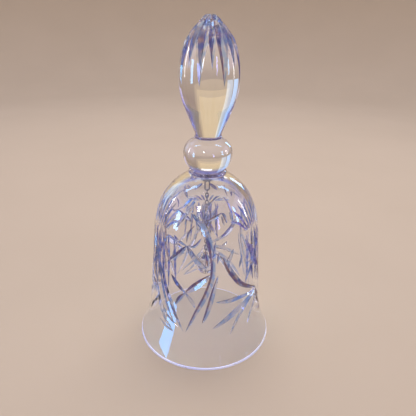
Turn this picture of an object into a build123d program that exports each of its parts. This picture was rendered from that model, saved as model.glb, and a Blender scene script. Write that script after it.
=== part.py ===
from build123d import *
from math import cos, degrees, radians, sin, tan
import os

# A cut-glass table bell: a thin trumpet-mouthed bowl, a fused stem and fluted bud handle,
# and a faceted clapper on a fine cable chain. The origin is the middle of the mouth, +Z up.

# ---- Driving dimensions, in mm ----

# Bowl
RIM_RADIUS = 39.0  # outside of the mouth
RIM_WALL = 1.6  # glass at the mouth
RIM_ROUND = 0.3  # fire-polished edges either side of the flat it stands on
WALL = 3.0  # glass at the body
BODY_BOTTOM = (32.1, 25.0)  # outside radius and height where the flare ends
BODY_TOP = (28.8, 70.0)  # where the shoulder begins
SHOULDER = (24.5, 85.7)  # half way round the shoulder
CROWN = (9.9, 99.9)  # edge of the flat that the stem is fused to
INNER_SHOULDER = (21.8, 83.6)
PAD_RADIUS = 4.2  # flat inside the crown, for the hanger
PAD_HEIGHT = 96.2

# Stem
MERESE_RADIUS = 10.0
MERESE_HEIGHT = 1.8
KNOP_RADIUS = 12.8
KNOP_SEAT = 7.6  # radius of the joint to the merese
KNOP_TOP = 118.6
NECK_RADIUS = 7.0
NECK_JOINT = 6.4
NECK_HEIGHT = 1.3

# Bud handle
BUD_STRAIGHT = (12.4, 134.5)  # outside radius and height where the straight foot ends
BUD_WIDEST = (14.8, 147.5)
BUD_SHOULDER = (13.1, 160.0)
TIP = (1.9, 175.0)
FLUTES = 8  # long flutes, with a short one between each two
FLUTE_TURN = 27.5  # of the first long flute, in degrees from +X
FLUTE_ANGLE = 116.0  # included angle of the V wheel
LONG_FLUTE = ((14.65, 139.0), (12.1, 158.0), (0.9, 175.4))  # floor of the V: bottom, middle, tip
SHORT_FLUTE = ((14.85, 150.5), (12.1, 160.5), (4.2, 172.4))

# Hanger
LOOP_WIRE = 0.6
LOOP_HALF_WIDTH = 1.1  # middle of the wire from the bell's axis
LOOP_BOTTOM = 90.4  # middle of the wire at the bottom of the U
CEMENT_RADIUS = 3.4
CEMENT_DEPTH = 1.5

# Chain
LINKS = 19
LINK_WIRE = 0.45
LINK_LENGTH = 3.0
LINK_WIDTH = 2.0
PLAY = 0.03  # gap between wires that hook round each other

# Clapper
EYE_WIRE = 0.5
EYE_RADIUS = 0.95  # middle of the wire
PIN_RADIUS = 0.3
BEAD_RADIUS = 5.4
BEAD_SIDES = 10
BEAD_LATITUDES = (-78.0, -50.0, -20.0, 20.0, 50.0, 78.0)
CAP_RADIUS = 2.6
CAP_HEIGHT = 1.3
CAP_WALL = 0.3
CAP_SEAT = 0.88  # height of the cap's rim above the bead's middle, as a share of the bead's radius
PIN_HEAD_RADIUS = 0.9
PIN_HEAD_HEIGHT = 0.45


def save(piece, name):
    """Label a finished piece and write it as its own STEP file."""
    piece.part.label = name
    export_step(piece.part, f"parts/{name}.step")


os.makedirs("parts", exist_ok=True)

# ---- Glass, from the mouth up ----

with BuildPart() as bell_bowl:
    with BuildSketch(Plane.XZ):
        with BuildLine():
            outer_body = Line(BODY_BOTTOM, BODY_TOP)
            outer_shoulder = TangentArc(BODY_TOP, SHOULDER, tangent=outer_body % 1)
            TangentArc(SHOULDER, CROWN, tangent=outer_shoulder % 1)
            outer_rim = (RIM_RADIUS, RIM_ROUND)
            TangentArc(BODY_BOTTOM, outer_rim, tangent=(outer_body % 0) * -1)
            outer_foot = (RIM_RADIUS - RIM_ROUND, 0)
            RadiusArc(outer_rim, outer_foot, RIM_ROUND)
            inner_foot = (RIM_RADIUS - RIM_WALL + RIM_ROUND, 0)
            Line(outer_foot, inner_foot)
            inner_rim = (RIM_RADIUS - RIM_WALL, RIM_ROUND)
            RadiusArc(inner_foot, inner_rim, RIM_ROUND)
            inner_bottom = (BODY_BOTTOM[0] - WALL, BODY_BOTTOM[1])
            inner_top = (BODY_TOP[0] - WALL, BODY_TOP[1])
            inner_body = Line(inner_bottom, inner_top)
            TangentArc(inner_bottom, inner_rim, tangent=(inner_body % 0) * -1)
            inner_shoulder = TangentArc(inner_top, INNER_SHOULDER, tangent=inner_body % 1)
            TangentArc(INNER_SHOULDER, (PAD_RADIUS, PAD_HEIGHT), tangent=inner_shoulder % 1)
            Polyline((PAD_RADIUS, PAD_HEIGHT), (0, PAD_HEIGHT), (0, CROWN[1]), CROWN)
        make_face()
    revolve(axis=Axis.Z)
save(bell_bowl, "bell_bowl")

merese_top = CROWN[1] + MERESE_HEIGHT
with BuildPart() as merese:
    with BuildSketch(Plane.XY.offset(CROWN[1])):
        Circle(MERESE_RADIUS)
    extrude(amount=MERESE_HEIGHT)
    fillet(merese.edges(), 0.45 * MERESE_HEIGHT)
save(merese, "merese")

knop_middle = (merese_top + KNOP_TOP) / 2
with BuildPart() as ball_knop:
    with BuildSketch(Plane.XZ):
        with BuildLine():
            ThreePointArc(
                (KNOP_SEAT, merese_top),
                (0.86 * KNOP_RADIUS, knop_middle - 0.32 * (KNOP_TOP - merese_top)),
                (KNOP_RADIUS, knop_middle),
            )
            ThreePointArc(
                (KNOP_RADIUS, knop_middle),
                (0.84 * KNOP_RADIUS, knop_middle + 0.34 * (KNOP_TOP - merese_top)),
                (NECK_JOINT, KNOP_TOP),
            )
            Polyline((NECK_JOINT, KNOP_TOP), (0, KNOP_TOP), (0, merese_top), (KNOP_SEAT, merese_top))
        make_face()
    revolve(axis=Axis.Z)
save(ball_knop, "ball_knop")

bud_foot = KNOP_TOP + NECK_HEIGHT
with BuildPart() as neck_wafer:
    with BuildSketch(Plane.XY.offset(KNOP_TOP)):
        Circle(NECK_RADIUS)
    extrude(amount=NECK_HEIGHT)
    fillet(neck_wafer.edges(), 0.4 * NECK_HEIGHT)
save(neck_wafer, "neck_wafer")


def flute_cutter(bottom, middle, tip):
    """A V ring whose sharp inner edge runs along the floor of one flute, in the XZ plane."""
    floor = ThreePointArc((bottom[0], 0, bottom[1]), (middle[0], 0, middle[1]), (tip[0], 0, tip[1]))
    centre = floor.arc_center
    depth = 6.0
    half_width = depth * tan(radians(FLUTE_ANGLE / 2))
    start = Plane(origin=floor @ 0, x_dir=((floor @ 0) - centre).normalized(), z_dir=floor % 0)
    with BuildPart(mode=Mode.PRIVATE) as ring:
        with BuildSketch(start):
            with BuildLine():
                Polyline((0, 0), (depth, half_width), (depth, -half_width), close=True)
            make_face()
        turn = Axis(centre, floor.normal())
        revolve(axis=turn, revolution_arc=degrees(floor.length / floor.radius))
    return ring.part


with BuildPart() as bud_handle:
    with BuildSketch(Plane.XZ):
        with BuildLine():
            TangentArc(BUD_WIDEST, BUD_STRAIGHT, tangent=(0, -1))
            Line(BUD_STRAIGHT, (NECK_JOINT, bud_foot))
            upper_bud = TangentArc(BUD_WIDEST, BUD_SHOULDER, tangent=(0, 1))
            TangentArc(BUD_SHOULDER, TIP, tangent=upper_bud % 1)
            Polyline(TIP, (0, TIP[1]), (0, bud_foot), (NECK_JOINT, bud_foot))
        make_face()
    revolve(axis=Axis.Z)
    long_flute = flute_cutter(*LONG_FLUTE)
    short_flute = flute_cutter(*SHORT_FLUTE)
    for k in range(FLUTES):
        add(long_flute.rotate(Axis.Z, FLUTE_TURN + k * 360 / FLUTES), mode=Mode.SUBTRACT)
        add(short_flute.rotate(Axis.Z, FLUTE_TURN + (k + 0.5) * 360 / FLUTES), mode=Mode.SUBTRACT)
save(bud_handle, "bud_handle")

# ---- Hanger, cemented to the flat inside the crown ----

with BuildPart() as hanger_loop:
    with BuildLine():
        bend = LOOP_BOTTOM + LOOP_HALF_WIDTH
        left_leg = Line((-LOOP_HALF_WIDTH, 0, PAD_HEIGHT), (-LOOP_HALF_WIDTH, 0, bend))
        ThreePointArc(left_leg @ 1, (0, 0, LOOP_BOTTOM), (LOOP_HALF_WIDTH, 0, bend))
        Line((LOOP_HALF_WIDTH, 0, bend), (LOOP_HALF_WIDTH, 0, PAD_HEIGHT))
    with BuildSketch(Plane(origin=left_leg @ 0, z_dir=left_leg % 0)):
        Circle(LOOP_WIRE / 2)
    sweep()
save(hanger_loop, "hanger_loop")

with BuildPart() as hanger_cement:
    with BuildSketch(Plane.XZ):
        with BuildLine():
            cement_low = (0, PAD_HEIGHT - CEMENT_DEPTH)
            TangentArc(cement_low, (CEMENT_RADIUS, PAD_HEIGHT), tangent=(1, 0))
            Polyline((CEMENT_RADIUS, PAD_HEIGHT), (0, PAD_HEIGHT), cement_low)
        make_face()
    revolve(axis=Axis.Z)
    with Locations((-LOOP_HALF_WIDTH, 0, PAD_HEIGHT), (LOOP_HALF_WIDTH, 0, PAD_HEIGHT)):
        Hole(LOOP_WIRE / 2)
save(hanger_cement, "hanger_cement")

# ---- Chain: odd links lie across X, even links lie along X ----

half_length = (LINK_LENGTH - LINK_WIRE) / 2
half_width = (LINK_WIDTH - LINK_WIRE) / 2
straight = half_length - half_width
pitch = 2 * half_length - LINK_WIRE - PLAY
first_top = LOOP_BOTTOM + (LOOP_WIRE + LINK_WIRE) / 2 + PLAY


def chain_link(number):
    """One soldered oval link, hanging from the wire of the one before."""
    middle = first_top - half_length - (number - 1) * pitch
    across = (0, 1, 0) if number % 2 else (1, 0, 0)
    plane = Plane(origin=(0, 0, middle), x_dir=across, z_dir=Vector(across).cross(Vector(0, 0, 1)))
    with BuildPart() as link:
        with BuildLine(plane):
            side = Line((half_width, -straight), (half_width, straight))
            ThreePointArc((half_width, straight), (0, half_length), (-half_width, straight))
            Line((-half_width, straight), (-half_width, -straight))
            ThreePointArc((-half_width, -straight), (0, -half_length), (half_width, -straight))
        with BuildSketch(Plane(origin=side @ 0, z_dir=side % 0)):
            Circle(LINK_WIRE / 2)
        sweep()
    return link


for number in range(1, LINKS + 1):
    save(chain_link(number), f"chain_link_{number:02d}")

# ---- Clapper: a faceted bead on a head pin, with a cap under the eye ----

last_bottom = first_top - 2 * half_length - (LINKS - 1) * pitch
eye_middle = last_bottom + (LINK_WIRE + EYE_WIRE) / 2 + PLAY - EYE_RADIUS
eye_bottom = eye_middle - EYE_RADIUS
cap_bottom = eye_bottom - EYE_WIRE / 2 - CAP_HEIGHT
bead_middle = cap_bottom - CAP_SEAT * BEAD_RADIUS
bead_half = BEAD_RADIUS * sin(radians(BEAD_LATITUDES[-1]))
bead_top = bead_middle + bead_half
bead_bottom = bead_middle - bead_half

with BuildPart() as clapper_bead:
    for latitude in BEAD_LATITUDES:
        with BuildSketch(Plane.XY.offset(bead_middle + BEAD_RADIUS * sin(radians(latitude)))):
            RegularPolygon(BEAD_RADIUS * cos(radians(latitude)), BEAD_SIDES)
    loft(ruled=True)
    with Locations((0, 0, bead_top)):
        Hole(PIN_RADIUS + PLAY)
save(clapper_bead, "clapper_bead")

with BuildPart() as clapper_cap:
    with BuildSketch(Plane.XZ):
        with BuildLine():
            cap_top = cap_bottom + CAP_HEIGHT
            TangentArc((PIN_RADIUS + PLAY, cap_top), (CAP_RADIUS, cap_bottom), tangent=(1, 0))
            Line((CAP_RADIUS, cap_bottom), (CAP_RADIUS - CAP_WALL, cap_bottom))
            TangentArc(
                (PIN_RADIUS + PLAY, cap_top - CAP_WALL),
                (CAP_RADIUS - CAP_WALL, cap_bottom),
                tangent=(1, 0),
            )
            Line((PIN_RADIUS + PLAY, cap_top - CAP_WALL), (PIN_RADIUS + PLAY, cap_top))
        make_face()
    revolve(axis=Axis.Z)
save(clapper_cap, "clapper_cap")

with BuildPart() as clapper_pin:
    with Locations(Plane(origin=(0, 0, eye_middle), z_dir=(0, 1, 0))):
        Torus(EYE_RADIUS, EYE_WIRE / 2)
    with BuildSketch(Plane.XY.offset(bead_bottom)):
        Circle(PIN_RADIUS)
    extrude(amount=eye_bottom - bead_bottom)
    with BuildSketch(Plane.XY.offset(bead_bottom)):
        Circle(PIN_HEAD_RADIUS)
    extrude(amount=-PIN_HEAD_HEIGHT)
    fillet(clapper_pin.faces().sort_by(Axis.Z)[0].edges(), 0.5 * PIN_HEAD_HEIGHT)
save(clapper_pin, "clapper_pin")
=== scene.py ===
import math

import bmesh
import bpy
import numpy as np
from mathutils import Matrix, Vector


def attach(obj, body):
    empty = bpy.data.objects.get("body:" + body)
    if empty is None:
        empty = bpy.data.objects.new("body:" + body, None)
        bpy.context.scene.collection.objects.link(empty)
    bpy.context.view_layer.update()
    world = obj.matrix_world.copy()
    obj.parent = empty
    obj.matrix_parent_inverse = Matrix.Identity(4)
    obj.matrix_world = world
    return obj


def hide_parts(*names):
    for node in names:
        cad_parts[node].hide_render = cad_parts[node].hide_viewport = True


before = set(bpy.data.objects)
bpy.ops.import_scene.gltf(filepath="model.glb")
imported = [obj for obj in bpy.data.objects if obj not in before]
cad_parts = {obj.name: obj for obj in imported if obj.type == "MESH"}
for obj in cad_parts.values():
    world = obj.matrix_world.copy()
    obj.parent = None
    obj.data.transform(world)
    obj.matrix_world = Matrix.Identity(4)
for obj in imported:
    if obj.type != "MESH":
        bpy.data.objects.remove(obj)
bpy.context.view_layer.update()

# ---------------------------------------------------------------------------
# The view: a hand-held camera a forearm away, a little above the handle,
# looking down at the bell and tilted by about a degree.
# ---------------------------------------------------------------------------

camera_place = (0.0007, -0.200, 0.1707)
look_down, tilt = math.radians(24.6), math.radians(1.3)
camera_data = bpy.data.cameras.new("camera")
camera_data.sensor_width = 36.0
camera_data.lens = 34.67
camera_data.clip_start = 0.01
camera = bpy.data.objects.new("camera", camera_data)
bpy.context.scene.collection.objects.link(camera)
camera.matrix_world = (
    Matrix.Translation(camera_place)
    @ Matrix.Rotation(math.pi / 2 - look_down, 4, "X")
    @ Matrix.Rotation(tilt, 4, "Z")
)
bpy.context.scene.camera = camera

# ---------------------------------------------------------------------------
# The bell bowl: blown lead crystal, thin at the trumpet mouth and thick at the
# crown, with three repeats of stems, stars and fans ground in with V wheels and
# acid-polished. It is open on top, where the hot merese is fused to it.
# ---------------------------------------------------------------------------

MM = 0.001
RIM_RADIUS, RIM_WALL, RIM_ROUND = 39.0, 1.6, 0.3
WALL = 3.0
BODY_BOTTOM, BODY_TOP = (32.1, 25.0), (28.8, 70.0)
SHOULDER, CROWN = (24.5, 85.7), (9.9, 99.9)
INNER_SHOULDER, PAD = (21.8, 83.6), (4.2, 96.2)
MERESE_FLAT = 9.19  # radius of the fused joint on the crown
BOWL_SIDES = 240
ON_AXIS = 1e-6  # mm; a point this near the axis is on it
OUTER_STEPS = {"flare": 30, "body": 50, "shoulder": 20, "dome": 28}
INNER_STEPS = {"flare": 24, "body": 30, "shoulder": 12, "dome": 20}
PAD_STEPS = 4


def tangent_arc(start, heading, end, count):
    """Points of the arc that leaves start along heading and meets end, and its last heading."""
    start, heading, end = Vector(start), Vector(heading).normalized(), Vector(end)
    chord = end - start
    side = Vector((-heading.y, heading.x))
    if side.dot(chord) < 0:
        side = -side
    radius = chord.length_squared / (2 * side.dot(chord))
    centre = start + side * radius
    sweep = 2 * math.asin(min(1.0, chord.length / (2 * radius)))
    points = [
        centre - side * radius * math.cos(a) + heading * radius * math.sin(a)
        for a in (sweep * i / count for i in range(1, count + 1))
    ]
    return points, heading * math.cos(sweep) + side * math.sin(sweep)


def straight(start, end, count):
    return [Vector(start).lerp(Vector(end), i / count) for i in range(1, count + 1)]


def wall_line(rim, bottom, top, shoulder, crown, steps):
    """One face of the wall as points of (radius, height), from the mouth up to the crown."""
    rise = Vector(top) - Vector(bottom)
    flare, _ = tangent_arc(bottom, -rise, rim, steps["flare"])
    curve, turn = tangent_arc(top, rise, shoulder, steps["shoulder"])
    dome, _ = tangent_arc(shoulder, turn, crown, steps["dome"])
    return flare[::-1] + [Vector(bottom)] + straight(bottom, top, steps["body"]) + curve + dome


def revolved(name, profile, sides):
    """A mesh turned from a profile of (radius, height) in mm; points on the axis close it."""
    grid = bmesh.new()
    rings = []
    for point in profile:
        if point.x < ON_AXIS:
            rings.append([grid.verts.new((0, 0, point.y * MM))])
            continue
        ring = []
        for k in range(sides):
            a = 2 * math.pi * k / sides
            across = point.x * MM
            ring.append(grid.verts.new((across * math.cos(a), across * math.sin(a), point.y * MM)))
        rings.append(ring)
    for low, high in zip(rings, rings[1:]):
        for k in range(sides):
            a, b = low[k % len(low)], low[(k + 1) % len(low)]
            c, d = high[(k + 1) % len(high)], high[k % len(high)]
            corners = []
            for v in (a, b, c, d):
                if v not in corners:
                    corners.append(v)
            grid.faces.new(corners)
    mesh = bpy.data.meshes.new(name)
    grid.to_mesh(mesh)
    grid.free()
    piece = bpy.data.objects.new(name, mesh)
    bpy.context.scene.collection.objects.link(piece)
    return piece


outer = wall_line((RIM_RADIUS, RIM_ROUND), BODY_BOTTOM, BODY_TOP, SHOULDER, CROWN, OUTER_STEPS)
inner_rim = (RIM_RADIUS - RIM_WALL, RIM_ROUND)
inner_bottom = (BODY_BOTTOM[0] - WALL, BODY_BOTTOM[1])
inner_top = (BODY_TOP[0] - WALL, BODY_TOP[1])
inner = wall_line(inner_rim, inner_bottom, inner_top, INNER_SHOULDER, PAD, INNER_STEPS)
inner += straight(PAD, (0.0, PAD[1]), PAD_STEPS)

# the mouth, with both edges rounded by the polishing
edge_turns = [math.radians(a) for a in (22.5, 45.0, 67.5)]
outer_edge = [
    Vector((RIM_RADIUS - RIM_ROUND * (1 - math.sin(a)), RIM_ROUND * (1 - math.cos(a))))
    for a in edge_turns
]
inner_edge = [
    Vector((inner_rim[0] + RIM_ROUND * (1 - math.sin(a)), RIM_ROUND * (1 - math.cos(a))))
    for a in edge_turns
]
foot = [Vector((inner_rim[0] + RIM_ROUND, 0)), Vector((RIM_RADIUS - RIM_ROUND, 0))]
lid = [Vector((MERESE_FLAT, CROWN[1])), Vector((0, CROWN[1]))]  # taken off after the cutting
bell_profile = inner[::-1] + inner_edge[::-1] + foot + outer_edge + outer + lid
bell_bowl = revolved("bell_bowl_cut", bell_profile, BOWL_SIDES)

# the V-wheel cutting
WHEEL_LEAN = math.tan(math.radians(100.0 / 2))  # half of the V wheel's included angle
TOOL_LIFT = 0.6  # how far a cutting tool stands out of the glass
SHALLOW = 0.02  # taken off every depth, so that a cut ends in a point
FULLNESS = 0.6  # below 1, a cut stays wide for longer before it tapers
LINE_STEPS, LEAST_STEPS = 28, 4
SLOPE_REACH = 0.5
outer_heights = np.array([p.y for p in outer])
outer_radii = np.array([p.x for p in outer])


def on_bowl(angle, height):
    """A point of the outer face, angle in degrees to the right of the front, and the normal there."""
    radius = np.interp(height, outer_heights, outer_radii)
    slope = (np.interp(height + SLOPE_REACH, outer_heights, outer_radii) - radius) / SLOPE_REACH
    a = math.radians(angle)
    out = Vector((math.sin(a), -math.cos(a), 0))
    return out * radius + Vector((0, 0, height)), (out - Vector((0, 0, slope))).normalized()


def smooth_line(points, count):
    """A Catmull-Rom line through given points of (angle, height)."""
    p = [np.array(q, float) for q in points]
    p = [2 * p[0] - p[1]] + p + [2 * p[-1] - p[-2]]
    line = []
    for i in range(1, len(p) - 2):
        for k in range(count):
            t = k / count
            line.append(
                0.5 * (
                    2 * p[i]
                    + (p[i + 1] - p[i - 1]) * t
                    + (2 * p[i - 1] - 5 * p[i] + 4 * p[i + 1] - p[i + 2]) * t ** 2
                    + (3 * p[i] - p[i - 1] - 3 * p[i + 1] + p[i + 2]) * t ** 3
                )
            )
    return line + [p[-2]]


def v_tool(name, rows_list, finish):
    """A closed cutting tool from rows of three corners, floor of the V first, all in mm."""
    tool = bmesh.new()
    for rows in rows_list:
        rows = [[tool.verts.new(corner * MM) for corner in row] for row in rows]
        for a, b in zip(rows, rows[1:]):
            for j in range(3):
                tool.faces.new((a[j], a[(j + 1) % 3], b[(j + 1) % 3], b[j]))
        tool.faces.new(rows[0][::-1])
        tool.faces.new(rows[-1])
    bmesh.ops.recalc_face_normals(tool, faces=tool.faces)
    for face in tool.faces:
        face.material_index = finish  # the faces that it leaves in the glass keep this
    mesh = bpy.data.meshes.new(name)
    tool.to_mesh(mesh)
    tool.free()
    cutter = bpy.data.objects.new(name, mesh)
    bpy.context.scene.collection.objects.link(cutter)
    return cutter


REPEATS = 3  # times that the pattern goes round the bowl
GROUND, PAINTED_GLOW, FINE = 1, 2, 3  # material slots of a cut piece, after the blown glass in slot 0


def groove(points, width, turns=range(REPEATS), finish=GROUND):
    """A V-wheel cut along a line on the bowl, in the repeats given: pointed at both ends."""
    line = smooth_line(points, max(LEAST_STEPS, LINE_STEPS // (len(points) - 1)))
    places = [on_bowl(*q) for q in line]
    last = len(places) - 1
    rows = []
    for i, (place, normal) in enumerate(places):
        along = places[min(i + 1, last)][0] - places[max(i - 1, 0)][0]
        side = normal.cross(along).normalized()
        share = math.sin(math.pi * i / last) ** FULLNESS if 0 < i < last else 0.0
        half = width / 2 * share
        depth = half / WHEEL_LEAN - SHALLOW
        reach = half + TOOL_LIFT * WHEEL_LEAN
        rows.append([
            place - normal * depth,
            place + normal * TOOL_LIFT + side * reach,
            place + normal * TOOL_LIFT - side * reach,
        ])
    turned = []
    for k in turns:
        spin = Matrix.Rotation(2 * math.pi * k / REPEATS, 3, "Z")
        turned.append([[spin @ corner for corner in row] for row in rows])
    return v_tool("groove", turned, finish)


# the bold cuts: the points of each line as (angle, height), and its width
bold_cuts = []
# the S stem: two long bands that overlap, and a leaf beside the lower one
bold_cuts += [
    ([(-20, 87.5), (-9, 83.5), (-1, 79), (4, 73), (6.5, 65), (7, 57)], 3.2),
    ([(10, 74.5), (8, 63), (7, 53.5), (1, 43), (-8, 32.5), (-18, 19)], 3.0),
    ([(13, 55), (9, 46.5), (6, 39.5), (2, 31.5), (-2, 26)], 2.8),
]
# the star beside its upper half, and the star beside its lower half
bold_cuts += [
    ([(-19, 70.5), (-29, 64.5), (-42, 58)], 3.0),
    ([(-19, 70.5), (-10, 64), (2, 58.5)], 3.3),
    ([(-19, 70.5), (-11, 71), (-4, 75.5)], 1.5),
    ([(-19, 70.5), (-27, 72), (-35, 74.5)], 1.6),
    ([(-19.5, 72), (-18, 77), (-12, 81.5)], 1.2),
    ([(-19, 43.5), (-8, 49), (6, 55.5)], 4.0),
    ([(-19, 43.5), (-25, 39.5), (-30, 34.5)], 2.5),
    ([(-19, 43.5), (-13, 39.5), (-9, 35.5)], 2.2),
    ([(-19, 43.5), (-28, 47.5), (-36, 52)], 2.4),
]
# the lower fan, from its point on the side
bold_cuts += [
    ([(64, 37), (37, 38.5), (23, 38.5), (11, 39)], 2.6),
    ([(62, 37), (35, 31.5), (8, 22.5)], 4.0),
    ([(64, 36.5), (46, 32), (35, 26), (25, 17)], 2.4),
    ([(66, 35), (59, 28), (52, 24), (47, 18.5)], 1.9),
    ([(64, 37), (69, 29), (78, 22.5), (89, 18)], 1.8),
    ([(64, 37), (68, 33), (77, 27.5), (94, 21)], 2.0),
    ([(70, 20.5), (80, 18.5), (90, 17.5)], 1.6),
    ([(66, 37), (41, 45.5), (30, 52.5), (22, 60), (18, 65)], 3.3),
]
# the long curve that hangs from the side of the next stem, and the uprights over the fan
bold_cuts += [
    ([(70, 63), (73, 50.5), (77, 43), (84, 36.5), (90, 29), (100, 19)], 2.8),
    ([(57, 74), (55, 60), (58, 44)], 2.0),
    ([(66, 73), (65, 60), (66, 46)], 2.0),
]
# leaves over the top of the stem
bold_cuts += [
    ([(-2, 83), (1, 88.5), (4, 91), (16, 94)], 1.4),
    ([(25, 93.5), (29, 91), (30, 88.5), (31, 85.5), (30, 81)], 1.2),
    ([(1, 83.5), (9, 85), (18, 87)], 1.6),
    ([(18, 87), (21, 85.5), (23, 82)], 1.6),
    ([(-14, 93.5), (-20, 89.5), (-26, 87)], 1.8),
    ([(-21, 92.5), (-26, 90.5), (-30, 88)], 1.9),
    ([(-19, 88), (-26, 84.5), (-33, 78.5)], 2.2),
]
# upright leaves between the stem and the side
bold_cuts += [
    ([(0, 69), (2, 64), (3, 59.5)], 1.8),
    ([(14, 68), (13, 65), (12, 61.5)], 1.4),
    ([(29, 68.5), (25, 63.5), (21, 59.5)], 2.4),
    ([(40, 64), (38, 60), (36, 56.5)], 1.7),
    ([(16, 71.5), (19, 72), (22, 73.5)], 1.3),
]

# the fine cuts: points, width, and the repeats that have them
SIDES, BACK, LEFT, ALL_ROUND = (0, 2), (1,), (2,), range(REPEATS)
fine_cuts = []
# the fan over each side, which is low at the back
FAN_ANGLE, FAN_FOOT, FAN_BASE = 60, 75.5, 76
FAN_GATHER = 0.34  # width of the fan at its foot, as a share of its width at the tips
FAN_ARCH, FAN_WIDTH = 1.2, 1.4
for tip, rise in (
    (27, 6.5), (33, 11.0), (42, 13.5), (51, 14.0), (60, 14.5), (69, 14.0), (78, 13.5), (87, 11.0),
    (93, 6.5),
):
    start = FAN_ANGLE + (tip - FAN_ANGLE) * FAN_GATHER
    for turns, share in ((SIDES, 1.0), (BACK, 0.35)):
        half_way = ((start + tip) / 2, FAN_BASE + rise * share * 0.5 + FAN_ARCH * share)
        end = (tip, FAN_BASE + rise * share)
        fine_cuts.append(([(start, FAN_FOOT), half_way, end], FAN_WIDTH, turns))
# two leaves that stand alone at the back, and two more long curves at the left
fine_cuts += [
    ([(54, 94), (45, 86)], 3.2, BACK),
    ([(71, 94), (80, 86)], 3.2, BACK),
    ([(62, 64), (68, 50), (74, 40), (81, 31), (90, 22)], 2.0, LEFT),
    ([(54, 60), (60, 46), (66, 36), (73, 28), (82, 19.5)], 2.0, LEFT),
]
# crossed and upright cuts under the fan
for k in range(4):
    fine_cuts.append(([(44 + 4 * k, 72 - 2 * k), (62 + 4 * k, 53 - 2 * k)], 1.5, ALL_ROUND))
    fine_cuts.append(([(76 - 4 * k, 72 - 2 * k), (58 - 4 * k, 53 - 2 * k)], 1.5, ALL_ROUND))
    fine_cuts.append(([(50 + 7 * k, 75), (46 + 9 * k, 62), (49 + 8 * k, 50)], 1.2, ALL_ROUND))
for k in range(6):
    low = 43 + 4 * (k % 2)
    fine_cuts.append(([(46 + 8 * k, 74), (48 + 8 * k, 62), (45 + 9 * k, low)], 1.7, ALL_ROUND))


def cut_away(piece, tools, finishes):
    """Take each tool's shape out of a closed piece, and give it a material for each slot."""
    for tool in tools:
        cut = piece.modifiers.new("cut", "BOOLEAN")
        cut.operation = "DIFFERENCE"
        cut.solver = "MANIFOLD"
        cut.material_mode = "INDEX"
        cut.object = tool
    evaluated = piece.evaluated_get(bpy.context.evaluated_depsgraph_get())
    done = bpy.data.meshes.new_from_object(evaluated)
    piece.modifiers.clear()
    slots = [face.material_index for face in done.polygons]
    done.materials.clear()
    for finish in finishes:
        done.materials.append(finish)
    done.polygons.foreach_set("material_index", slots)
    piece.data = done
    for tool in tools:
        bpy.data.objects.remove(tool)


GROUND_EDGE = 24.0  # degrees; an edge sharper than this was ground and stays crisp


def finish_edges(piece, crease=GROUND_EDGE):
    piece.data.shade_smooth()
    piece.data.set_sharp_from_angle(angle=math.radians(crease))


def open_joint(piece, height, radius, crease=GROUND_EDGE):
    """Take off the disc where the next hot piece is fused on, then smooth the blown faces."""
    near = 1e-6
    grid = bmesh.new()
    grid.from_mesh(piece.data)
    gone = [
        f for f in grid.faces
        if all(
            abs(v.co.z - height * MM) < near and v.co.xy.length < radius * MM + near
            for v in f.verts
        )
    ]
    bmesh.ops.delete(grid, geom=gone, context="FACES")
    grid.to_mesh(piece.data)
    grid.free()
    finish_edges(piece, crease)


class Wire:
    """One output socket of a material. Arithmetic on it adds Math nodes."""

    def __init__(self, maker, socket):
        self.maker, self.socket = maker, socket

    def math(self, operation, a, b):
        return self.maker.node("ShaderNodeMath", {"operation": operation}, {0: a, 1: b})

    def __add__(self, other):
        return self.math("ADD", self, other)

    def __radd__(self, other):
        return self.math("ADD", other, self)

    def __sub__(self, other):
        return self.math("SUBTRACT", self, other)

    def __rsub__(self, other):
        return self.math("SUBTRACT", other, self)

    def __mul__(self, other):
        return self.math("MULTIPLY", self, other)

    def __rmul__(self, other):
        return self.math("MULTIPLY", other, self)


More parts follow.
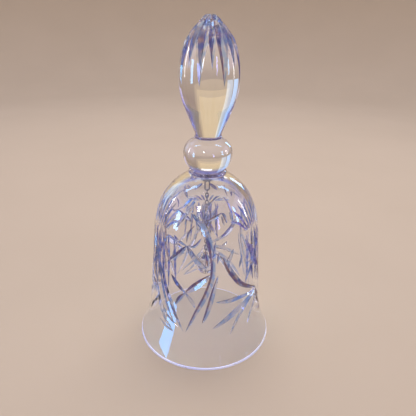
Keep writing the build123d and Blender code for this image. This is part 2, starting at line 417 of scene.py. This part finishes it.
class Maker:
    """Adds nodes to one material or world."""

    def __init__(self, owner):
        owner.use_nodes = True
        self.tree = owner.node_tree
        self.tree.nodes.clear()

    def node(self, kind, settings=None, inputs=None, out=0):
        made = self.tree.nodes.new(kind)
        for key, value in (settings or {}).items():
            if key == "stops":
                ramp = made.color_ramp
                while len(ramp.elements) < len(value):
                    ramp.elements.new(1.0)
                for element, (place, colour) in zip(ramp.elements, value):
                    element.position, element.color = place, (*colour, 1.0)
            else:
                setattr(made, key, value)
        for key, value in (inputs or {}).items():
            if isinstance(value, Wire):
                self.tree.links.new(value.socket, made.inputs[key])
            else:
                made.inputs[key].default_value = value
        return Wire(self, made.outputs[out])

    def noise(self, scale, detail, **more):
        """Noise fixed to the piece, finer with a larger scale."""
        place = self.node("ShaderNodeTexCoord", out="Object")
        settings = {"Vector": place, "Scale": scale, "Detail": detail, **more}
        return self.node("ShaderNodeTexNoise", {}, settings)

    def spread(self, value, low, high, end=1.0, kind="LINEAR"):
        """0 where value is low, end where it is high."""
        return self.node("ShaderNodeMapRange", {"interpolation_type": kind}, {
            "Value": value, "From Min": low, "From Max": high, "To Min": 0.0, "To Max": end,
        })

    def bump(self, height, strength, distance):
        return self.node("ShaderNodeBump", {}, {
            "Strength": strength, "Distance": distance, "Height": height,
        })

    def mix(self, share, first, second):
        """A mix of two colours."""
        colours = {0: share, 6: (*first, 1.0), 7: (*second, 1.0)}
        return self.node("ShaderNodeMix", {"data_type": "RGBA"}, colours, 2)

    def mix_wires(self, share, first, second):
        return self.node("ShaderNodeMix", {"data_type": "RGBA"}, {0: share, 6: first, 7: second}, 2)

    def principled(self, sockets):
        return self.node("ShaderNodeBsdfPrincipled", {}, sockets)

    def let_light_through(self, body, shade):
        """The body as it is seen, but only a tint to the light that crosses it."""
        clear = self.node("ShaderNodeBsdfTransparent", {}, {"Color": (*shade, 1.0)})
        shadow = self.node("ShaderNodeLightPath", out="Is Shadow Ray")
        return self.node("ShaderNodeMixShader", {}, {0: shadow, 1: body, 2: clear})

    def surface(self, shader, kind="ShaderNodeOutputMaterial"):
        end = self.tree.nodes.new(kind)
        self.tree.links.new(shader.socket, end.inputs["Surface"])


CRYSTAL_IOR = 1.545


def glass(name, tint, shade):
    """Clear lead crystal: a faint ripple from the furnace and a trace of handling marks."""
    material = bpy.data.materials.new(name)
    m = Maker(material)
    ripple = m.noise(70.0, 2.0)
    marks = m.spread(m.noise(240.0, 6.0, Roughness=0.7), 0.55, 0.8, 0.05)
    body = m.principled({
        "Base Color": m.mix(ripple, tint, shade),
        "Roughness": marks,
        "Normal": m.bump(ripple, 0.02, 0.0006),
        "IOR": CRYSTAL_IOR,
        "Transmission Weight": 1.0,
    })
    m.surface(m.let_light_through(body, (0.74, 0.68, 0.61)))
    return material


def ground_glass(name, painted_light_tint, painted_shade_tint, clearness):
    """The faces left by the V wheel, tinted with painted light and shade: a face that looks up to the
    front left gets the light tint, the others the deep shade tint, with patches of painted sparkle.
    """
    material = bpy.data.materials.new(name)
    m = Maker(material)
    facing = m.node("ShaderNodeNewGeometry", out="Normal")
    # painted light: the direction in the scene that counts as lit; the tint follows the way a face
    # looks, not the glass
    painted_light_way = (-0.62, -0.30, 0.72)
    dot = {"operation": "DOT_PRODUCT"}
    painted_light_facing = m.node("ShaderNodeVectorMath", dot, {0: facing, 1: painted_light_way}, "Value")
    patches = m.noise(150.0, 2.0)
    # painted sparkle: random patches where each side takes its second tint
    painted_sparkle = m.spread(m.noise(320.0, 1.0), 0.42, 0.60, kind="SMOOTHSTEP")
    # how much of the painted light tint a face takes, its edge broken up by noise
    share = m.spread(painted_light_facing + (patches - 0.5) * 0.9, -0.05, 0.45, kind="SMOOTHSTEP")
    wheel = m.noise(1800.0, 3.0)
    body = m.principled({
        "Base Color": m.mix_wires(share, m.mix(painted_sparkle, *painted_shade_tint), m.mix(painted_sparkle, *painted_light_tint)),
        "Roughness": 0.015 + wheel * 0.05,
        "Normal": m.bump(wheel, 0.05, 0.00003),
        "IOR": CRYSTAL_IOR,
        "Transmission Weight": clearness,
    })
    m.surface(m.let_light_through(body, (0.74, 0.68, 0.66)))
    return material


crystal = glass("blown_crystal", (0.975, 0.98, 1.0), (0.94, 0.95, 1.0))
# the cut faces get painted light and shade: sky-blue on faces turned to the lit side, deep violet and
# brown on the others
ground_crystal = ground_glass(
    "ground_crystal",
    painted_light_tint=((0.20, 0.40, 1.0), (0.66, 0.74, 1.0)),
    painted_shade_tint=((0.04, 0.03, 0.20), (0.15, 0.07, 0.08)),
    clearness=0.93,
)
fine_crystal = ground_glass(
    "fine_cut_crystal",
    painted_light_tint=((0.30, 0.50, 1.0), (0.84, 0.89, 1.0)),
    painted_shade_tint=((0.15, 0.14, 0.78), (0.36, 0.31, 0.88)),
    clearness=0.65,
)

# the polished edge of the mouth, drawn as a painted highlight: an opaque lavender-white face that
# glows, though it is no lamp
RIM_BRIGHT = 0.65  # height of the bright edge
painted_glow_rim = bpy.data.materials.new("painted_glow_rim")
m = Maker(painted_glow_rim)
grain = m.noise(900.0, 4.0)
glow = m.noise(35.0, 1.0)
m.surface(m.principled({
    "Base Color": m.mix(glow, (0.62, 0.64, 0.98), (0.90, 0.92, 1.0)),
    "Roughness": 0.12 + grain * 0.2,
    "Emission Color": m.mix(glow, (0.50, 0.52, 0.95), (0.90, 0.92, 1.0)),
    "Emission Strength": 0.6,
    "Normal": m.bump(grain, 0.2, 0.00005),
    "IOR": CRYSTAL_IOR,
}))

cut_away(
    bell_bowl,
    [groove(points, width) for points, width in bold_cuts]
    + [groove(points, width, turns, FINE) for points, width, turns in fine_cuts],
    [crystal, ground_crystal, painted_glow_rim, fine_crystal],
)
open_joint(bell_bowl, CROWN[1], MERESE_FLAT)
# the faces at the foot of the mouth take the painted glow
for face in bell_bowl.data.polygons:
    if face.center.z < RIM_BRIGHT * MM:
        face.material_index = PAINTED_GLOW

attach(bell_bowl, "bell")
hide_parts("bell_bowl")

# ---------------------------------------------------------------------------
# The merese: a button of hot glass pressed flat between bowl and stem. It is
# fused to both, so it is open where it meets them and has only its rounded rim.
# ---------------------------------------------------------------------------

MERESE_RADIUS, MERESE_TOP, MERESE_ROUND = 10.0, 101.7, 0.81
KNOP_SEAT = 7.6  # radius of the joint to the knop
STEM_SIDES = 240
ROUND_STEPS = 6


def rounded_rim(radius, low, high, round_by):
    """Profile of a wafer's rim, from its lower flat round to its upper flat."""
    points = []
    for centre, start in ((low + round_by, -math.pi / 2), (high - round_by, 0.0)):
        for i in range(ROUND_STEPS + 1):
            a = start + math.pi / 2 * i / ROUND_STEPS
            across = radius - round_by + round_by * math.cos(a)
            points.append(Vector((across, centre + round_by * math.sin(a))))
    return points


profile = rounded_rim(MERESE_RADIUS, CROWN[1], MERESE_TOP, MERESE_ROUND)
profile += [Vector((KNOP_SEAT, MERESE_TOP))]
merese = revolved("merese_fused", profile, STEM_SIDES)
finish_edges(merese)
# the clear joint glass is tinted deep violet: painted shade for the dark that the fused rings show
painted_dark_joint_glass = glass("painted_dark_joint_glass", (0.34, 0.32, 0.66), (0.22, 0.20, 0.52))
merese.data.materials.append(painted_dark_joint_glass)
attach(merese, "bell")
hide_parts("merese")

# ---------------------------------------------------------------------------
# The ball knop: a solid gather of glass, marvered to a squat ball and left
# smooth. It is fused to the merese below and to the neck wafer above.
# ---------------------------------------------------------------------------

KNOP_RADIUS, KNOP_TOP, NECK_JOINT = 12.8, 118.6, 6.4
KNOP_STEPS = 20
knop_middle = (MERESE_TOP + KNOP_TOP) / 2
knop_height = KNOP_TOP - MERESE_TOP


def arc_through(first, second, third, count):
    """The centre of the arc through three points, and its points without the first."""
    (ax, ay), (bx, by), (cx, cy) = first, second, third
    d = 2 * (ax * (by - cy) + bx * (cy - ay) + cx * (ay - by))
    a2, b2, c2 = ax * ax + ay * ay, bx * bx + by * by, cx * cx + cy * cy
    centre = Vector((
        (a2 * (by - cy) + b2 * (cy - ay) + c2 * (ay - by)) / d,
        (a2 * (cx - bx) + b2 * (ax - cx) + c2 * (bx - ax)) / d,
    ))
    start, stop = [math.atan2(p[1] - centre.y, p[0] - centre.x) for p in (first, third)]
    radius = (Vector(first) - centre).length
    return centre, [
        centre + radius * Vector((math.cos(a), math.sin(a)))
        for a in (start + (stop - start) * i / count for i in range(1, count + 1))
    ]


knop_seat = (KNOP_SEAT, MERESE_TOP)
low_cheek = (0.86 * KNOP_RADIUS, knop_middle - 0.32 * knop_height)
high_cheek = (0.84 * KNOP_RADIUS, knop_middle + 0.34 * knop_height)
_, lower = arc_through(knop_seat, low_cheek, (KNOP_RADIUS, knop_middle), KNOP_STEPS)
_, upper = arc_through((KNOP_RADIUS, knop_middle), high_cheek, (NECK_JOINT, KNOP_TOP), KNOP_STEPS)
ball_knop = revolved("ball_knop_fused", [Vector(knop_seat)] + lower + upper, STEM_SIDES)
finish_edges(ball_knop)
ball_knop.data.materials.append(crystal)
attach(ball_knop, "bell")
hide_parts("ball_knop")

# ---------------------------------------------------------------------------
# The neck wafer: the narrow ring where the handle was stuck to the knop, rounded
# in the flame. It shows as the dark line under the handle, a painted shade: its clear glass is tinted
# deep violet.
# ---------------------------------------------------------------------------

NECK_RADIUS, BUD_FOOT, NECK_ROUND = 7.0, 119.9, 0.52
profile = [Vector((NECK_JOINT, KNOP_TOP))]
profile += rounded_rim(NECK_RADIUS, KNOP_TOP, BUD_FOOT, NECK_ROUND)
profile += [Vector((NECK_JOINT, BUD_FOOT))]
neck_wafer = revolved("neck_wafer_fused", profile, STEM_SIDES)
finish_edges(neck_wafer)
neck_wafer.data.materials.append(painted_dark_joint_glass)
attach(neck_wafer, "bell")
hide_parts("neck_wafer")

# ---------------------------------------------------------------------------
# The bud handle: a solid egg of glass, pulled to a point, with eight long and
# eight short flutes ground down from the tip on a V wheel.
# ---------------------------------------------------------------------------

BUD_STRAIGHT, BUD_WIDEST = (12.4, 134.5), (14.8, 147.5)
BUD_SHOULDER, TIP = (13.1, 160.0), (1.9, 175.0)
FOOT_STEPS, WAIST_STEPS, SWELL_STEPS, POINT_STEPS = 20, 24, 22, 34
BUD_EDGE = 20.0  # degrees; sharper edges stay crisp
LONG_FLUTE = ((14.65, 139.0), (12.1, 158.0), (0.9, 175.4))  # floor: bottom, middle, tip
SHORT_FLUTE = ((14.85, 150.5), (12.1, 160.5), (4.2, 172.4))
FLUTES, FLUTE_STEPS = 8, 28
FLUTE_TURN = 27.5  # of the first long flute, in degrees
FLUTE_LEAN = math.tan(math.radians(116 / 2))  # half of the V wheel's included angle
FLUTE_REACH = 6.0  # how far the cutting tool stands out from the flute's floor

waist, _ = tangent_arc(BUD_WIDEST, (0, -1), BUD_STRAIGHT, WAIST_STEPS)
swell, turn = tangent_arc(BUD_WIDEST, (0, 1), BUD_SHOULDER, SWELL_STEPS)
point, _ = tangent_arc(BUD_SHOULDER, turn, TIP, POINT_STEPS)
bud_foot = Vector((NECK_JOINT, BUD_FOOT))
foot_side = [bud_foot] + straight(bud_foot, BUD_STRAIGHT, FOOT_STEPS)[:-1]
profile = [Vector((0, BUD_FOOT))] + foot_side + waist[::-1] + [Vector(BUD_WIDEST)] + swell + point
bud_handle = revolved("bud_handle_cut", profile + [Vector((0, TIP[1]))], STEM_SIDES)


def flutes(bottom, middle, tip, turn_share):
    """Eight V flutes whose floors follow the arc through three points of (radius, height)."""
    centre, floor = arc_through(bottom, middle, tip, FLUTE_STEPS)
    rows = []
    for p in [Vector(bottom)] + floor:
        high = p + (p - centre).normalized() * FLUTE_REACH
        rows.append([
            Vector((p.x, 0, p.y)),
            Vector((high.x, FLUTE_REACH * FLUTE_LEAN, high.y)),
            Vector((high.x, -FLUTE_REACH * FLUTE_LEAN, high.y)),
        ])
    tools = []
    for k in range(FLUTES):
        angle = math.radians(FLUTE_TURN) + 2 * math.pi * (k + turn_share) / FLUTES
        spin = Matrix.Rotation(angle, 3, "Z")
        tools.append(v_tool("flute", [[[spin @ corner for corner in row] for row in rows]], GROUND))
    return tools


# the flute faces carry the same painted light and shade as the cuts on the bowl
flute_crystal = ground_glass(
    "flute_crystal",
    painted_light_tint=((0.28, 0.50, 1.0), (0.88, 0.92, 1.0)),
    painted_shade_tint=((0.08, 0.055, 0.30), (0.32, 0.17, 0.17)),
    clearness=1.0,
)
cut_away(
    bud_handle, flutes(*LONG_FLUTE, 0.0) + flutes(*SHORT_FLUTE, 0.5), [crystal, flute_crystal]
)
open_joint(bud_handle, BUD_FOOT, NECK_JOINT, BUD_EDGE)
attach(bud_handle, "bell")
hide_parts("bud_handle")

# ---------------------------------------------------------------------------
# The hanger: a U of bright wire with its ends set in a bead of clear cement
# under the crown. The cement has set a little cloudy.
# ---------------------------------------------------------------------------


def bright_wire(name, colour, dull):
    """Nickel-plated wire, drawn along its length and slightly dulled in random patches."""
    material = bpy.data.materials.new(name)
    m = Maker(material)
    tarnish = m.noise(900.0, 4.0)
    m.surface(m.principled({
        "Base Color": m.mix(tarnish, colour, dull),
        "Roughness": 0.14 + tarnish * 0.2,
        "Metallic": 1.0,
        "Normal": m.bump(m.noise(4200.0, 2.0), 0.15, 0.00002),
    }))
    return material


def dress(node, material):
    """Give a CAD node a material in place of its own."""
    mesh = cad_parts[node].data
    mesh.materials.clear()
    mesh.materials.append(material)


wire = bright_wire("bright_wire", (0.40, 0.39, 0.45), (0.12, 0.11, 0.15))
dress("hanger_loop", wire)

cement = bpy.data.materials.new("clear_cement")
m = Maker(cement)
cloud = m.noise(500.0, 5.0)
m.surface(m.principled({
    "Base Color": m.mix(cloud, (0.95, 0.94, 0.90), (0.85, 0.82, 0.76)),
    "Roughness": 0.12 + cloud * 0.25,
    "Normal": m.bump(cloud, 0.3, 0.0002),
    "IOR": 1.5,
    "Transmission Weight": 0.8,
}))
dress("hanger_cement", cement)

# ---------------------------------------------------------------------------
# The chain: nineteen soldered oval links of fine wire, each hung in the one
# above, so that every second link is seen edge-on.
# ---------------------------------------------------------------------------

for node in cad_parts:
    if node.startswith("chain_link"):
        dress(node, wire)

# ---------------------------------------------------------------------------
# The clapper: a faceted glass bead threaded on a head pin, with a small spun
# cap over it and the pin turned into an eye that hangs in the last link.
# ---------------------------------------------------------------------------

dress("clapper_pin", wire)
dress("clapper_cap", wire)
dress("clapper_bead", glass("bead_glass", (0.96, 0.97, 1.0), (0.9, 0.92, 1.0)))

# ---------------------------------------------------------------------------
# The studio: a pale cream sweep that curves up all round, with one soft lamp
# over it. Cool windows and a warm wall are seen only in the glass and the wire.
# ---------------------------------------------------------------------------

SWEEP_FLAT, SWEEP_CURVE, SWEEP_HEIGHT = 900.0, 350.0, 520.0
SWEEP_STEPS, SWEEP_SIDES, SWEEP_EDGE = 12, 96, 60.0
sweep_profile = [Vector((SWEEP_FLAT * i / SWEEP_STEPS, 0)) for i in range(SWEEP_STEPS + 1)]
sweep_profile += [
    Vector((SWEEP_FLAT + SWEEP_CURVE * math.sin(a), SWEEP_CURVE * (1 - math.cos(a))))
    for a in (math.pi / 2 * i / SWEEP_STEPS for i in range(1, SWEEP_STEPS + 1))
]
sweep_profile += [Vector((SWEEP_FLAT + SWEEP_CURVE, SWEEP_HEIGHT))]
sweep = revolved("studio_floor", sweep_profile[::-1], SWEEP_SIDES)
finish_edges(sweep, SWEEP_EDGE)
paint = bpy.data.materials.new("pale_floor")
m = Maker(paint)
mottle = m.noise(9.0, 4.0)
m.surface(m.principled({
    "Base Color": m.mix(mottle, (0.54, 0.445, 0.335), (0.50, 0.41, 0.305)),
    "Roughness": 0.6 + mottle * 0.1,
    "Specular IOR Level": 0.0,
}))
sweep.data.materials.append(paint)

BELL_MIDDLE = Vector((0, 0, 0.09))


def soft_light(name, place, size, colour, power, lights, aim=BELL_MIDDLE):
    """A soft lamp that lights the floor, glints off the glass or shows through it."""
    data = bpy.data.lights.new(name, "AREA")
    data.shape = "RECTANGLE"
    data.size, data.size_y = size
    data.color = colour
    data.energy = power
    lamp = bpy.data.objects.new(name, data)
    lamp.location = place
    lamp.rotation_euler = (aim - Vector(place)).to_track_quat("-Z", "Y").to_euler()
    lamp.visible_camera = False
    lamp.visible_diffuse = lights == "floor"
    lamp.visible_glossy = lights == "glint"
    lamp.visible_transmission = lights == "through"
    bpy.context.scene.collection.objects.link(lamp)


def power_for(brightness, size):
    """The power that gives a lamp's face its brightness."""
    return brightness * (math.pi * size[0] * size[1])


LAVENDER, SKY, WHITE = (0.42, 0.45, 1.0), (0.28, 0.60, 1.0), (0.95, 0.97, 1.0)
PALE_SKY, DEEP_SKY, WARM = (0.50, 0.76, 1.0), (0.02, 0.40, 1.0), (1.0, 0.80, 0.40)
APART = 1.03  # two lamps in one place would hide each other
soft_light("overhead", (0.05, 0.25, 1.2), (0.9, 0.9), (1.0, 0.93, 0.84), 15, "floor")
# name, place, size, colour, brightness as a glint, brightness through the glass
for name, place, size, colour, glint, through in (
    ("panel_left", (-0.80, -0.05, 0.40), (0.70, 0.40), LAVENDER, 1.6, 0.8),
    ("panel_right", (0.80, 0.15, 0.40), (0.70, 0.40), LAVENDER, 1.6, 0.8),
    ("window_left", (-0.640, -0.275, 0.17), (0.13, 0.30), SKY, 16.0, 1.5),
    ("window_right", (0.66, -0.20, 0.30), (0.07, 0.32), SKY, 16.0, 1.5),
    ("window_back_left", (-0.66, 0.56, 0.39), (0.34, 0.76), SKY, 1.0, 0.9),
    ("window_pale", (-0.47, 0.78, 0.38), (0.24, 0.74), PALE_SKY, None, 0.45),
    ("warm_wall_low", (-0.10, 0.97, 0.24), (0.96, 0.46), WARM, None, 0.13),
    ("warm_wall_high", (-0.10, 0.96, 0.33), (0.84, 0.42), WARM, None, 0.13),
    ("warm_wall_top", (-0.10, 0.95, 0.39), (0.70, 0.40), WARM, None, 0.13),
    ("window_back_right", (0.46, 0.68, 0.30), (0.10, 0.30), SKY, 12.0, None),
    ("strip_left", (-0.74, 0.16, 0.26), (0.05, 0.36), WHITE, 14.0, 1.2),
    ("strip_right", (0.74, 0.12, 0.26), (0.05, 0.36), WHITE, 14.0, 1.2),
    ("strip_front", (0.34, -0.66, 0.30), (0.05, 0.30), LAVENDER, 14.0, 1.0),
    ("strip_back", (0.02, 0.80, 0.42), (0.30, 0.06), WHITE, 12.0, 1.2),
    ("high_left", (-0.40, 0.05, 0.75), (0.08, 0.30), SKY, 12.0, 1.5),
    ("high_right", (0.42, 0.10, 0.75), (0.08, 0.30), SKY, 12.0, 1.5),
    ("key", (-0.30, -0.75, 0.75), (0.10, 0.20), WHITE, 40.0, 6.0),
):
    if glint:
        soft_light(name + "_glint", place, size, colour, power_for(glint, size), "glint")
    if through:
        behind = [APART * c for c in place]
        soft_light(name + "_through", behind, size, colour, power_for(through, size), "through")

# a small lamp close to the mouth, which lays a blue strip down the flare
LOW_PLACE, LOW_SIZE, LOW_AIM = (-0.048, -0.038, 0.008), (0.018, 0.014), (-0.022, -0.028, 0.011)
soft_light(
    "low_left_glint", LOW_PLACE, LOW_SIZE, DEEP_SKY, power_for(12, LOW_SIZE), "glint", Vector(LOW_AIM)
)

# the room beyond the sweep: warm below, lavender at eye level and blue-white above
world = bpy.data.worlds.new("studio")
bpy.context.scene.world = world
world.cycles.sampling_method = "NONE"
m = Maker(world)
way = m.node("ShaderNodeTexCoord", out="Generated")
height = m.node("ShaderNodeSeparateXYZ", {}, {"Vector": way}, "Z")
sky = m.node("ShaderNodeValToRGB", {"stops": (
    (0.0, (0.42, 0.35, 0.28)),
    (0.34, (0.40, 0.33, 0.27)),
    (0.5, (0.31, 0.30, 0.68)),
    (0.75, (0.40, 0.48, 1.0)),
    (1.0, (0.85, 0.88, 1.0)),
)}, {0: height})
background = m.node("ShaderNodeBackground", {}, {"Color": sky, "Strength": 0.7})
m.surface(background, "ShaderNodeOutputWorld")

scene = bpy.context.scene
scene.view_settings.view_transform = "Standard"
scene.cycles.caustics_reflective = False
scene.cycles.max_bounces = 24
scene.cycles.transmission_bounces = 24
scene.cycles.glossy_bounces = 12
scene.cycles.transparent_max_bounces = 24
